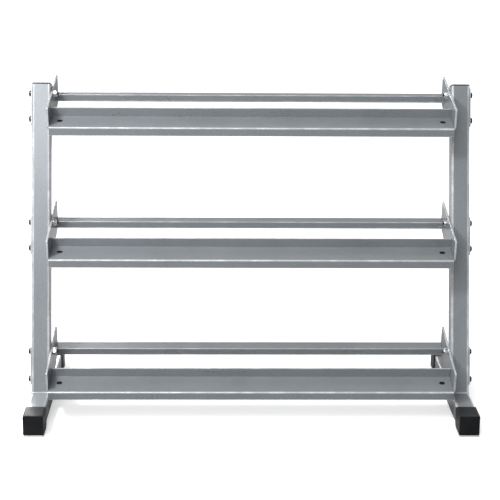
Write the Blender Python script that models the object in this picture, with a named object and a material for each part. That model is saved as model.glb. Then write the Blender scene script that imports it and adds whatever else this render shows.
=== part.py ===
"""Three-tier dumbbell rack.

Two square-tube uprights lean back from two floor tubes. Three sloping tiers are bolted between
the uprights. Each tier is two bent steel rails welded between a pair of flat end plates: the
front heads of the dumbbells sit on the front rail and the rear heads on the rear rail.

Units are metres. X is to the right, +Y to the back and +Z up. The origin is on the floor, at the
middle of the base.
"""

import math

import bmesh
import bpy
from mathutils import Vector

# Overall sizes
RACK_WIDTH = 1.200  # over the outer faces of the uprights
BASE_LENGTH = 0.560  # front to back, over the foot caps
UPRIGHT_LENGTH = 0.846  # front edge, from the base tube to the top cap
UPRIGHT_SETBACK = 0.1755  # front foot cap's face to the foot of the upright's front face
LEAN = math.radians(15.0)  # uprights, back from vertical

# Square tube
TUBE = 0.050
TUBE_WALL = 0.0025
TUBE_CORNER = 0.005

# Tiers
TIERS = ("bottom", "middle", "top")
TIER_SLOPE = math.radians(11.0)  # floors rise to the back
TIER_START = 0.0685  # base tube to the lowest tier's floor, along the upright
TIER_TOP_MARGIN = 0.0695  # top tier's floor to the upright's top, along the upright
FRONT_REACH = 0.130  # upright's middle to the front bend, along the floor
FRONT_FLOOR = 0.081
REAR_FLOOR = 0.068
RAIL_GAP = 0.125  # between the two rails' upstands
FRONT_UPSTAND = 0.026  # above the floor
REAR_UPSTAND = 0.018
LIP = 0.024  # below the floor
RAIL_SHEET = 0.003
BEND_RADIUS = 0.003  # outside a bend, and the inside is a tight fold
HANGING_HOLE_RADIUS = 0.0075
HANGING_HOLE_INSET = 0.026  # rail's end to the hole
HANGING_HOLE_BACK = 0.048  # front bend to the hole

# End plates
PLATE_SHEET = 0.005
PLATE_RISE = 0.051  # above the floor
PLATE_FRONT_INSET = 0.010  # front bend to the plate's front edge
PLATE_EDGE_DROP = 0.005  # below the floor, at the front edge
PLATE_TAB_DROP = 0.046  # below the floor, round the lower bolt
PLATE_TAB_WIDTH = 0.062
PLATE_CORNER = 0.005

# Backing plates, outside the uprights
BACKING_SHEET = 0.003
BACKING_HEIGHT = 0.105
BACKING_WIDTH = 0.040
BACKING_CORNER = 0.004

# Fasteners: M10 button-head bolts with lock nuts
BOLT_RADIUS = 0.005
BOLT_CLEARANCE = 0.0005  # radial, in the plates and the tube
NUT_CLEARANCE = 0.00025  # radial, between the bolt and the nut's bore
UPPER_BOLT = 0.045  # above the tier's floor, along the upright
BOLT_SPACINGS = (0.076, 0.070, 0.070)  # lowest tier first
BOLT_FLANGE_RADIUS = 0.0100
BOLT_FLANGE = 0.0015
BOLT_HEAD_RADIUS = 0.00875
BOLT_HEAD = 0.0055
SOCKET_ACROSS = 0.006
SOCKET_DEPTH = 0.0031
BOLT_TIP = 0.0035  # thread showing past the nut
NUT_ACROSS = 0.017
NUT_HEIGHT = 0.010
NUT_FLANGE_RADIUS = 0.0100
NUT_FLANGE = 0.0015
NUT_CROWN = 0.0028  # round top that holds the nylon ring

# Top caps
TOP_CAP = 0.004
TOP_CAP_EDGE = 0.0015
TOP_CAP_SKIRT = 0.018
TOP_CAP_WALL = 0.0025

# Foot caps and glides
FOOT_CAP_WALL = 0.0022
FOOT_CAP_LENGTH = 0.068
FOOT_CAP_FACE = 0.004  # thickness of the closed end
FOOT_CAP_EDGE = 0.0015
FOOT_CAP_CORNER = 0.004  # round outer corners
GLIDE = 0.0032
GLIDE_NOSE = 0.005  # past the foot cap's face
GLIDE_EDGE = 0.0008

GAP = 0.0003  # between pieces that touch

CORNER_STEPS = 3
ROUND_STEPS = 12
BEND_STEPS = 2

# Places that follow from the sizes
TIER_PITCH = (UPRIGHT_LENGTH - TIER_START - TIER_TOP_MARGIN) / (len(TIERS) - 1)
BASE_BOTTOM = GLIDE + GAP + FOOT_CAP_WALL + GAP
BASE_TOP = BASE_BOTTOM + TUBE
BASE_FRONT = -BASE_LENGTH / 2
UPRIGHT_MIDDLE = (RACK_WIDTH - TUBE) / 2
INNER_FACE = RACK_WIDTH / 2 - TUBE
PLATE_MIDDLE = INNER_FACE - GAP - PLATE_SHEET / 2
RAIL_HALF = PLATE_MIDDLE - PLATE_SHEET / 2 - GAP
BACKING_MIDDLE = RACK_WIDTH / 2 + GAP + BACKING_SHEET / 2
TIER_DEPTH = FRONT_FLOOR + RAIL_GAP + REAR_FLOOR
FRONT_BEND = -FRONT_REACH
REAR_BEND = FRONT_BEND + TIER_DEPTH
SIDES = (("left", -1), ("right", 1))
ENDS = (("front", -1), ("rear", 1))


def clear_scene():
    for old in list(bpy.data.objects):
        bpy.data.objects.remove(old, do_unlink=True)


def paint(name, colour, roughness, metallic):
    """A Principled material of one colour."""
    made = bpy.data.materials.new(name)
    made.use_nodes = True
    shader = made.node_tree.nodes["Principled BSDF"]
    shader.inputs["Base Color"].default_value = (*colour, 1.0)
    shader.inputs["Roughness"].default_value = roughness
    shader.inputs["Metallic"].default_value = metallic
    return made


def guide(name, location, tilt, parent=None):
    """An empty that pieces are placed by. Tilt turns it about X."""
    made = bpy.data.objects.new(name, None)
    bpy.context.scene.collection.objects.link(made)
    made.parent = parent
    made.location = location
    made.rotation_euler = (tilt, 0.0, 0.0)
    return made


def place(name, mesh, location=(0.0, 0.0, 0.0), turn=(0.0, 0.0, 0.0), parent=None):
    """An object of this mesh, in its parent's frame."""
    made = bpy.data.objects.new(name, mesh)
    bpy.context.scene.collection.objects.link(made)
    made.parent = parent
    made.location = location
    made.rotation_euler = turn
    return made


def finish_mesh(name, shape, material):
    """Closes a bmesh into a mesh with its faces outwards and its round sides smooth."""
    bmesh.ops.remove_doubles(shape, verts=shape.verts, dist=1e-6)
    bmesh.ops.recalc_face_normals(shape, faces=shape.faces)
    mesh = bpy.data.meshes.new(name)
    shape.to_mesh(mesh)
    shape.free()
    mesh.shade_smooth()
    mesh.set_sharp_from_angle(angle=math.radians(35.0))
    if material:
        mesh.materials.append(material)
    return mesh


def loft(name, rings, material, looped=False):
    """Walls between rings of points, one ring to the next. The end rings are closed by faces,
    unless looped joins the last ring to the first."""
    shape = bmesh.new()
    rows = [[shape.verts.new(point) for point in ring] for ring in rings]
    count = len(rows[0])
    pairs = list(zip(rows, rows[1:]))
    if looped:
        pairs.append((rows[-1], rows[0]))
    for lower, upper in pairs:
        for i in range(count):
            j = (i + 1) % count
            shape.faces.new((lower[i], lower[j], upper[j], upper[i]))
    if not looped:
        shape.faces.new(rows[0])
        shape.faces.new(rows[-1])
    return finish_mesh(name, shape, material)


def rounded_outline(corners, steps=CORNER_STEPS):
    """A closed outline. Each corner is (x, y, radius), and its arc touches both its sides."""
    outline = []
    count = len(corners)
    for i, (x, y, radius) in enumerate(corners):
        here = Vector((x, y))
        back = (Vector(corners[i - 1][:2]) - here).normalized()
        ahead = (Vector(corners[(i + 1) % count][:2]) - here).normalized()
        half = back.angle(ahead) / 2
        middle = here + (back + ahead).normalized() * radius / math.sin(half)
        arm = here + back * radius / math.tan(half) - middle
        start = math.atan2(arm.y, arm.x)
        turn = math.copysign(math.pi - 2 * half, ahead.cross(back))
        for step in range(steps + 1):
            angle = start + turn * step / steps
            outline.append(middle + radius * Vector((math.cos(angle), math.sin(angle))))
    return outline


def rounded_square(width, height, corner):
    x = width / 2
    y = height / 2
    return rounded_outline([(-x, -y, corner), (x, -y, corner), (x, y, corner), (-x, y, corner)])


def slab(name, outline, thickness, material):
    """A flat sheet: an outline of (y, z) points, extruded along X about its middle."""
    rings = [[(x, p[0], p[1]) for p in outline] for x in (-thickness / 2, thickness / 2)]
    return loft(name, rings, material)


def circle_ring(x, radius, first=0.0):
    """Points round the X axis. The first is this many steps past +Y."""
    turns = [math.tau * (i + first) / ROUND_STEPS for i in range(ROUND_STEPS)]
    return [(x, radius * math.cos(a), radius * math.sin(a)) for a in turns]


def hexagon_ring(x, across):
    ring = []
    for i in range(ROUND_STEPS):
        angle = math.tau * i / ROUND_STEPS
        off_flat = (angle + math.pi / 6) % (math.pi / 3) - math.pi / 6
        radius = across / 2 / math.cos(off_flat)
        ring.append((x, radius * math.cos(angle), radius * math.sin(angle)))
    return ring


def cut(target, cutter):
    """Subtracts the cutter from the target."""
    modifier = target.modifiers.new("Cut " + cutter.name, "BOOLEAN")
    modifier.operation = "DIFFERENCE"
    modifier.solver = "EXACT"
    modifier.object = cutter


def hide_cutter(cutter):
    cutter.hide_render = True
    cutter.display_type = "WIRE"


def upright_mesh(material):
    """Square tube. Its foot is cut level, so it stands flat on the base tube, and its top is
    cut square. Y runs from the front face and Z up the front face."""
    inner = TUBE - 2 * TUBE_WALL
    outside = rounded_square(TUBE, TUBE, TUBE_CORNER)
    inside = rounded_square(inner, inner, TUBE_CORNER - TUBE_WALL)

    def level(outline):
        return [
            (p.x, p.y + TUBE / 2, (p.y + TUBE / 2) * math.tan(LEAN) + GAP / math.cos(LEAN))
            for p in outline
        ]

    def square(outline):
        return [(p.x, p.y + TUBE / 2, UPRIGHT_LENGTH) for p in outline]

    rings = [level(outside), square(outside), square(inside), level(inside)]
    return loft("upright", rings, material, True)


def base_tube_mesh(material):
    """Square tube along Y, open at both ends, which stop short of the foot caps' faces."""
    inner = TUBE - 2 * TUBE_WALL
    half = BASE_LENGTH / 2 - FOOT_CAP_FACE - GAP
    outside = rounded_square(TUBE, TUBE, TUBE_CORNER)
    inside = rounded_square(inner, inner, TUBE_CORNER - TUBE_WALL)

    def at(outline, y):
        return [(p.x, y, p.y) for p in outline]

    rings = [at(outside, -half), at(outside, half), at(inside, half), at(inside, -half)]
    return loft("base_tube", rings, material, True)


def foot_cap_mesh(material):
    """A boot that slips over the base tube's end. Its face is at Y = 0 and it opens to +Y."""
    room = TUBE + 2 * GAP
    outer = room + 2 * FOOT_CAP_WALL
    edge = outer - 2 * FOOT_CAP_EDGE

    def at(size, corner, y):
        return [(p.x, y, p.y) for p in rounded_square(size, size, corner)]

    rings = [
        at(room, TUBE_CORNER, FOOT_CAP_FACE),
        at(room, TUBE_CORNER, FOOT_CAP_LENGTH),
        at(outer, FOOT_CAP_CORNER, FOOT_CAP_LENGTH),
        at(outer, FOOT_CAP_CORNER, FOOT_CAP_EDGE),
        at(outer - 0.6 * FOOT_CAP_EDGE, FOOT_CAP_CORNER, 0.3 * FOOT_CAP_EDGE),
        at(edge, FOOT_CAP_CORNER - FOOT_CAP_EDGE / 2, 0.0),
    ]
    return loft("foot_cap", rings, material)


def glide_mesh(material):
    """A flat pad under a foot cap. It starts in front of the cap's face, at Y = 0."""
    width = TUBE + 2 * GAP + 2 * FOOT_CAP_WALL
    length = FOOT_CAP_LENGTH + GLIDE_NOSE
    outline = rounded_square(width, length, TUBE_CORNER / 2)
    small = rounded_square(width - 2 * GLIDE_EDGE, length - 2 * GLIDE_EDGE, TUBE_CORNER / 2)

    def at(points, z):
        return [(p.x, p.y + length / 2 - GLIDE_NOSE, z) for p in points]

    rings = [at(outline, 0.0), at(outline, GLIDE - GLIDE_EDGE), at(small, GLIDE)]
    return loft("glide", rings, material)


def top_cap_mesh(material):
    """A plug with a square flange on top and a hollow skirt that fits inside the tube."""
    skirt = TUBE - 2 * TUBE_WALL - 2 * GAP
    bore = skirt - 2 * TOP_CAP_WALL
    corner = TUBE_CORNER - TUBE_WALL
    levels = (
        (bore, corner / 2, 0.0),
        (bore, corner / 2, -TOP_CAP_SKIRT),
        (skirt, corner, -TOP_CAP_SKIRT),
        (skirt, corner, GAP),
        (TUBE, TUBE_CORNER, GAP),
        (TUBE, TUBE_CORNER, TOP_CAP - TOP_CAP_EDGE),
        (TUBE - 0.6 * TOP_CAP_EDGE, TUBE_CORNER, TOP_CAP - 0.3 * TOP_CAP_EDGE),
        (TUBE - 2 * TOP_CAP_EDGE, TUBE_CORNER, TOP_CAP),
    )
    rings = [[(p.x, p.y, z) for p in rounded_square(size, size, r)] for size, r, z in levels]
    return loft("top_cap", rings, material)


def rail_outline(floor, upstand):
    """Section of a bent rail: a lip down at the outer edge (y = 0), a floor whose top is at
    z = 0, and an upstand at the inner edge (y = floor). Bends have a round outside."""
    s = RAIL_SHEET
    r = BEND_RADIUS
    tight = 0.0004
    corners = [
        (0.0, -LIP, tight),
        (s, -LIP, tight),
        (s, -s, tight),
        (floor + s, -s, r),
        (floor + s, upstand, tight),
        (floor, upstand, tight),
        (floor, 0.0, tight),
        (0.0, 0.0, r),
    ]
    return rounded_outline(corners, BEND_STEPS)


def rail_mesh(name, floor, upstand, back_to_front, material):
    """A rail along X. A rear rail is the same section turned back to front."""
    outline = rail_outline(floor, upstand)
    if back_to_front:
        outline = [Vector((-p.x, p.y)) for p in outline]
    return slab(name, outline, 2 * RAIL_HALF, material)


def along_upright(distance):
    """(y, z) in a tier's frame of a point this far up the upright's middle from the floor."""
    tilt = LEAN + TIER_SLOPE
    return distance * math.sin(tilt), distance * math.cos(tilt)


def end_plate_mesh(material):
    """Flat plate in the tier's frame, as deep as the two rails. A tab under the floor takes the
    lower bolt."""
    tab, _ = along_upright(UPPER_BOLT - BOLT_SPACINGS[0])
    front = FRONT_BEND + PLATE_FRONT_INSET
    corners = [
        (front, -PLATE_EDGE_DROP, PLATE_CORNER),
        (tab - PLATE_TAB_WIDTH / 2, -PLATE_TAB_DROP, PLATE_CORNER * 2),
        (tab + PLATE_TAB_WIDTH / 2, -PLATE_TAB_DROP, PLATE_CORNER * 2),
        (REAR_BEND, -LIP, PLATE_CORNER),
        (REAR_BEND, PLATE_RISE, PLATE_CORNER / 2),
        (front, PLATE_RISE, PLATE_CORNER / 2),
    ]
    return slab("end_plate", rounded_outline(corners), PLATE_SHEET, material)


def backing_plate_mesh(material):
    outline = rounded_square(BACKING_WIDTH, BACKING_HEIGHT, BACKING_CORNER)
    return slab("backing_plate", outline, BACKING_SHEET, material)


def bolt_mesh(material):
    """A button head at X = 0, facing -X, with its shank to +X. The flange is part of it."""
    grip = GAP + BACKING_SHEET + GAP + TUBE + GAP + PLATE_SHEET + GAP
    length = grip + NUT_FLANGE + NUT_HEIGHT + BOLT_TIP
    crown = [
        circle_ring(
            -BOLT_FLANGE - BOLT_HEAD * math.sin(turn),
            BOLT_HEAD_RADIUS * (0.55 + 0.45 * math.cos(turn)),
        )
        for turn in (math.pi / 2, math.pi / 4, 0.0)
    ]
    top = -BOLT_FLANGE - BOLT_HEAD
    rings = [
        hexagon_ring(top + SOCKET_DEPTH, SOCKET_ACROSS),
        hexagon_ring(top, SOCKET_ACROSS),
        *crown,
        circle_ring(-BOLT_FLANGE, BOLT_FLANGE_RADIUS),
        circle_ring(0.0, BOLT_FLANGE_RADIUS),
        circle_ring(0.0, BOLT_RADIUS),
        circle_ring(length, BOLT_RADIUS),
    ]
    return loft("bolt", rings, material)


def nut_mesh(material):
    """A flanged lock nut, from X = 0 to its height, with its flange at X = 0."""
    bore = BOLT_RADIUS + NUT_CLEARANCE
    top = NUT_FLANGE + NUT_HEIGHT
    rings = [
        circle_ring(0.0, bore),
        circle_ring(0.0, NUT_FLANGE_RADIUS),
        circle_ring(NUT_FLANGE, NUT_FLANGE_RADIUS),
        hexagon_ring(NUT_FLANGE, NUT_ACROSS),
        hexagon_ring(top - NUT_CROWN, NUT_ACROSS),
        circle_ring(top - NUT_CROWN, NUT_ACROSS / 2 * 0.93),
        circle_ring(top, NUT_ACROSS / 2 * 0.8),
        circle_ring(top, bore),
    ]
    return loft("nut", rings, material, True)


def bolt_heights():
    """(tier, place) and distance up the upright's front face of each bolt's axis."""
    found = []
    for i, tier in enumerate(TIERS):
        upper = TIER_START + i * TIER_PITCH + UPPER_BOLT
        found.append((tier, "upper", upper))
        found.append((tier, "lower", upper - BOLT_SPACINGS[i]))
    return found


def build():
    clear_scene()
    steel = paint("Silver powder coat", (0.50, 0.53, 0.55), 0.42, 0.35)
    black = paint("Black moulded plastic", (0.025, 0.027, 0.032), 0.48, 0.0)
    zinc = paint("Zinc-plated steel", (0.62, 0.63, 0.64), 0.30, 0.9)
    grey = paint("Light grey nylon", (0.66, 0.67, 0.68), 0.5, 0.0)

    foot = (0.0, BASE_FRONT + UPRIGHT_SETBACK, BASE_TOP)
    lean_frame = guide("upright_frame", foot, -LEAN)
    tier_frames = [
        guide(
            tier + "_tier_frame",
            (0.0, TUBE / 2, TIER_START + i * TIER_PITCH),
            LEAN + TIER_SLOPE,
            lean_frame,
        )
        for i, tier in enumerate(TIERS)
    ]

    # Cutters: one bore through both sides of the rack for each bolt, and the hanging holes
    bore_radius = BOLT_RADIUS + BOLT_CLEARANCE
    bore_reach = RACK_WIDTH / 2 + 0.02
    bores = []
    for tier, where, height in bolt_heights():
        rings = [circle_ring(x, bore_radius, 0.5) for x in (-bore_reach, bore_reach)]
        name = tier + "_" + where + "_bolt_bore"
        bore = place(name, loft(name, rings, None), (0.0, TUBE / 2, height), parent=lean_frame)
        hide_cutter(bore)
        bores.append((tier, bore))

    # Base: a tube, two foot caps and two glides on each side
    base_mesh = base_tube_mesh(steel)
    cap_mesh = foot_cap_mesh(black)
    pad_mesh = glide_mesh(grey)
    base_middle = BASE_BOTTOM + TUBE / 2
    for side, sign in SIDES:
        x = sign * UPRIGHT_MIDDLE
        place(side + "_base_tube", base_mesh, (x, 0.0, base_middle))
        for end, way in ENDS:
            turn = (0.0, 0.0, math.pi if way > 0 else 0.0)
            face = way * BASE_LENGTH / 2
            place(side + "_" + end + "_foot_cap", cap_mesh, (x, face, base_middle), turn)
            place(side + "_" + end + "_glide", pad_mesh, (x, face, 0.0), turn)

    # Uprights and their top caps
    post_mesh = upright_mesh(steel)
    plug_mesh = top_cap_mesh(black)
    for side, sign in SIDES:
        x = sign * UPRIGHT_MIDDLE
        post = place(side + "_upright", post_mesh, (x, 0.0, 0.0), parent=lean_frame)
        for _, bore in bores:
            cut(post, bore)
        place(side + "_top_cap", plug_mesh, (x, TUBE / 2, UPRIGHT_LENGTH), parent=lean_frame)

    # Tiers: a front rail, a rear rail and two end plates each
    front_mesh = rail_mesh("front_rail", FRONT_FLOOR, FRONT_UPSTAND, False, steel)
    rear_mesh = rail_mesh("rear_rail", REAR_FLOOR, REAR_UPSTAND, True, steel)
    plate_mesh = end_plate_mesh(steel)
    for tier, frame in zip(TIERS, tier_frames):
        front = place(tier + "_front_rail", front_mesh, (0.0, FRONT_BEND, 0.0), parent=frame)
        place(tier + "_rear_rail", rear_mesh, (0.0, REAR_BEND, 0.0), parent=frame)
        for side, sign in SIDES:
            name = tier + "_" + side + "_hanging_hole"
            rings = [circle_ring(x, HANGING_HOLE_RADIUS) for x in (-LIP, LIP)]
            spot = (sign * (RAIL_HALF - HANGING_HOLE_INSET), FRONT_BEND + HANGING_HOLE_BACK, 0.0)
            hole = place(name, loft(name, rings, None), spot, (0.0, math.pi / 2, 0.0), frame)
            hide_cutter(hole)
            cut(front, hole)
            name = tier + "_" + side + "_end_plate"
            plate = place(name, plate_mesh, (sign * PLATE_MIDDLE, 0.0, 0.0), parent=frame)
            for bore_tier, bore in bores:
                if bore_tier == tier:
                    cut(plate, bore)

    # Backing plates outside the uprights, and the bolts and nuts that clamp each tier
    strap_mesh = backing_plate_mesh(steel)
    screw_mesh = bolt_mesh(zinc)
    lock_nut_mesh = nut_mesh(zinc)
    head_x = BACKING_MIDDLE + BACKING_SHEET / 2 + GAP
    nut_x = PLATE_MIDDLE - PLATE_SHEET / 2 - GAP
    for side, sign in SIDES:
        turn = (0.0, 0.0, math.pi if sign > 0 else 0.0)
        back = (0.0, 0.0, 0.0 if sign > 0 else math.pi)
        for i, tier in enumerate(TIERS):
            upper = TIER_START + i * TIER_PITCH + UPPER_BOLT
            middle = upper - BOLT_SPACINGS[i] / 2
            spot = (sign * BACKING_MIDDLE, TUBE / 2, middle)
            strap = place(side + "_" + tier + "_backing_plate", strap_mesh, spot, parent=lean_frame)
            for bore_tier, bore in bores:
                if bore_tier == tier:
                    cut(strap, bore)
        for tier, where, height in bolt_heights():
            label = side + "_" + tier + "_" + where
            place(label + "_bolt", screw_mesh, (sign * head_x, TUBE / 2, height), turn, lean_frame)
            place(label + "_nut", lock_nut_mesh, (sign * nut_x, TUBE / 2, height), turn, lean_frame)


build()
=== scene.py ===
"""Looks of a three-tier dumbbell rack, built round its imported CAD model.

The sections follow the rack as it is put together: floor tubes, foot caps, glides, uprights, top
caps, rails, hole plugs, end plates, backing plates, bolts and nuts, and then the studio around it.
"""

import math

import bmesh
import bpy
import numpy as np
from mathutils import Matrix, Vector


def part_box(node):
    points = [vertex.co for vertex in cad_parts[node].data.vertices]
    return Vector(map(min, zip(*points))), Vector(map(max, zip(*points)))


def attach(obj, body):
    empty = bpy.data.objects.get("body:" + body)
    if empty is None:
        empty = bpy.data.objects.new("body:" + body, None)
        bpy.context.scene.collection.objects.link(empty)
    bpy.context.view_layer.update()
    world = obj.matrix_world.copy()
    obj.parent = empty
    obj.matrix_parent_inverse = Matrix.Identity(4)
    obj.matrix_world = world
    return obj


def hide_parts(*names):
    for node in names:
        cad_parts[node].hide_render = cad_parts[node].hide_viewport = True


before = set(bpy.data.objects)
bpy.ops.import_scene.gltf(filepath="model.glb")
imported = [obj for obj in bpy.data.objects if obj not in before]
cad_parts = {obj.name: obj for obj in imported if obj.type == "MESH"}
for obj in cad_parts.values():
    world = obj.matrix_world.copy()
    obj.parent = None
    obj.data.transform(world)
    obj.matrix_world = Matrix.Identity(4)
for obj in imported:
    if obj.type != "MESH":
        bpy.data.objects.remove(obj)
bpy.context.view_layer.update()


# Floor tubes
# Two lengths of 50 mm square steel tube lie front to back on the floor, one under each upright.
# They are rolled with round corners, sawn square and powder-coated silver grey.

SIDES = ("left", "right")
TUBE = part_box("left_base_tube")[1].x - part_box("left_base_tube")[0].x
TUBE_WALL = 0.0025
TUBE_CORNER = 0.005
SAWN_EDGE = 0.0004
SAME_POINT = 1e-7  # points closer than this are one
SHARP_ANGLE = math.radians(32)  # faces that meet at more than this show an edge


def unit(vectors):
    """Each vector divided by its own length."""
    return vectors / np.linalg.norm(vectors, axis=-1, keepdims=True)


def outline(corners, radii, steps=8, guard=0.003):
    """Closed outline with round corners, counter-clockwise: its points, its outward normals, and
    an edge value of 1 on outside corners, -1 on inside corners and 0 between them.

    An arc's centre lies on the bisector of its corner, at radius / sin(half the corner's angle).
    The arc runs from one side to the other, and a guard point follows at a short distance on
    each side, so that a flat side stays flat up to there.
    """
    here = np.array(corners, float)
    radius = np.broadcast_to(np.array(radii, float), len(here))
    back = unit(np.roll(here, 1, 0) - here)
    ahead = unit(np.roll(here, -1, 0) - here)
    half = np.arccos(np.clip((back * ahead).sum(1), -1, 1)) / 2
    reach = radius / np.tan(half)
    middle = here + unit(back + ahead) * (radius / np.sin(half))[:, None]
    arm = here + back * reach[:, None] - middle
    outside = np.sign(ahead[:, 0] * back[:, 1] - ahead[:, 1] * back[:, 0])
    share = np.linspace(0, 1, steps + 1)
    angle = np.arctan2(arm[:, 1], arm[:, 0])[:, None] + np.outer(outside * (math.pi - 2 * half), share)
    spoke = np.stack([np.cos(angle), np.sin(angle)], -1)
    arcs = middle[:, None] + radius[:, None, None] * spoke
    side = np.linalg.norm(np.roll(here, -1, 0) - here, axis=1)
    free = side - reach - np.roll(reach, -1)
    step_on = np.minimum(guard, 0.4 * free)
    step_off = np.minimum(guard, 0.4 * np.roll(free, 1))
    before = here + back * (reach + step_off)[:, None]
    after = here + ahead * (reach + step_on)[:, None]
    points = np.concatenate([before[:, None], arcs, after[:, None]], 1)
    normal_in = np.stack([-back[:, 1], back[:, 0]], -1)
    normal_on = np.stack([ahead[:, 1], -ahead[:, 0]], -1)
    normals = np.concatenate([normal_in[:, None], spoke * outside[:, None, None], normal_on[:, None]], 1)
    edge = np.zeros(points.shape[:2])
    edge[:, 1:-1] = outside[:, None]
    return points.reshape(-1, 2), normals.reshape(-1, 2), edge.ravel()


def square_outline(width, height, corner, steps=8):
    """Outline of a rectangle about the origin, with round corners."""
    x, y = width / 2, height / 2
    return outline([(-x, -y), (x, -y), (x, y), (-x, y)], corner, steps)


def tube_wall(steps, start, stop, cut=0.0):
    """Rings round the wall of a square tube along its third coordinate, and their edge values.

    The wall goes along the outside, round the sawn end and back along the inside. Its first end
    is cut at a slope: the end's place is start + cut times the second coordinate.
    """
    outer, outer_normals, outer_edge = square_outline(TUBE, TUBE, TUBE_CORNER, steps)
    room = TUBE - 2 * TUBE_WALL
    inner, _, _ = square_outline(room, room, TUBE_CORNER - TUBE_WALL, steps)
    sawn = outer - outer_normals * SAWN_EDGE
    foot = outer[:, 1] * cut + start
    stations = [
        (sawn, foot),
        (outer, foot + SAWN_EDGE),
        (outer, stop - SAWN_EDGE),
        (sawn, stop),
        (inner, stop),
        (inner, inner[:, 1] * cut + start),
    ]
    rings = [np.column_stack([points, np.broadcast_to(along, len(points))]) for points, along in stations]
    return np.array(rings), np.outer([1, 1, 1, 1, 0, 0], outer_edge)


def skin(name, rings, edge, looped=False):
    """Mesh through rings of points. Each ring is closed, and joins the next ring point to point.
    The first and last rings are filled with a flat face, unless looped joins them together."""
    rings = np.asarray(rings, float)
    rows, count = rings.shape[:2]
    here = np.arange(rows * count).reshape(rows, count)
    beside = np.roll(here, -1, 1)
    kept = rows if looped else rows - 1
    corners = (here, beside, np.roll(beside, -1, 0), np.roll(here, -1, 0))
    faces = np.stack([c[:kept] for c in corners], -1).reshape(-1, 4).tolist()
    if not looped:
        faces += [here[0][::-1].tolist(), here[-1].tolist()]
    mesh = bpy.data.meshes.new(name)
    mesh.from_pydata(rings.reshape(-1, 3).tolist(), [], faces)
    values = np.broadcast_to(np.asarray(edge, float), (rows, count)).astype(np.float32)
    mesh.attributes.new("edge", "FLOAT", "POINT").data.foreach_set("value", values.ravel())
    shape = bmesh.new()
    shape.from_mesh(mesh)
    bmesh.ops.remove_doubles(shape, verts=shape.verts, dist=SAME_POINT)
    if shape.calc_volume(signed=True) < 0:
        bmesh.ops.reverse_faces(shape, faces=shape.faces)
    shape.to_mesh(mesh)
    shape.free()
    mesh.shade_smooth()
    mesh.set_sharp_from_angle(angle=SHARP_ANGLE)
    return mesh


def fit(name, mesh, material, node=None):
    """Puts a finished mesh in the scene as a piece. It stands for its CAD node, if it has one."""
    piece = bpy.data.objects.new(name, mesh)
    bpy.context.scene.collection.objects.link(piece)
    mesh.materials.append(material)
    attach(piece, "root")
    if node:
        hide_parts(node)
    return piece


def effect(name, inputs, outputs):
    """A new shader node group, with its input and output nodes. Inputs are (name, default)."""
    tree = bpy.data.node_groups.new(name, "ShaderNodeTree")
    for label, value in inputs:
        socket = tree.interface.new_socket(label, in_out="INPUT", socket_type="NodeSocketFloat")
        socket.default_value = value
    for label in outputs:
        tree.interface.new_socket(label, in_out="OUTPUT", socket_type="NodeSocketFloat")
    return tree, tree.nodes.new("NodeGroupInput"), tree.nodes.new("NodeGroupOutput")


def feed(tree, socket, given):
    """Gives a socket a value, or another node's output to read."""
    if isinstance(given, bpy.types.NodeSocket):
        tree.links.new(given, socket)
    else:
        socket.default_value = given


def add(tree, kind, settings=None, **sockets):
    """A node of this kind, with its settings and what its sockets are fed, each by name."""
    node = tree.nodes.new(kind)
    for name, value in (settings or {}).items():
        setattr(node, name, value)
    for name, given in sockets.items():
        feed(tree, node.inputs[name], given)
    return node


def maths(tree, operation, *values):
    """The result of one sum on two or three values."""
    node = add(tree, "ShaderNodeMath", {"operation": operation})
    for socket, given in zip(node.inputs, values):
        feed(tree, socket, given)
    return node.outputs[0]


def ramp(tree, value, low, high, to_low=0.0, to_high=1.0):
    """The value's place between low and high, carried smoothly over to another range."""
    node = add(tree, "ShaderNodeMapRange", {"interpolation_type": "SMOOTHSTEP"})
    for socket, given in zip(node.inputs, (value, low, high, to_low, to_high)):
        feed(tree, socket, given)
    return node.outputs[0]


def mixed(tree, share, first, second):
    """A colour part of the way from the first to the second."""
    node = add(tree, "ShaderNodeMix", {"data_type": "RGBA"})
    for index, given in ((0, share), (6, first), (7, second)):
        feed(tree, node.inputs[index], given)
    return node.outputs[2]


def place_on(tree):
    """A point's place in the coordinates of its own piece."""
    return add(tree, "ShaderNodeTexCoord").outputs["Object"]


def noise(tree, place, scale, detail=2.0, roughness=0.5):
    """Soft noise at a place, as a value about 0.5."""
    made = add(tree, "ShaderNodeTexNoise", Vector=place, Scale=scale, Detail=detail, Roughness=roughness)
    return made.outputs[0]


# Speckle and orange peel of a sprayed or moulded skin, at a grain size in grains to the metre
grain, grain_in, grain_out = effect("Skin grain", [("Grains", 500.0)], ["Speckle", "Height"])
place = place_on(grain)
speckle = noise(grain, place, grain_in.outputs["Grains"], 1.0)
peel = noise(grain, place, grain_in.outputs["Grains"], 3.0, 0.6)
feed(grain, grain_out.inputs["Speckle"], ramp(grain, speckle, 0.3, 0.7))
feed(grain, grain_out.inputs["Height"], peel)

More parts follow.
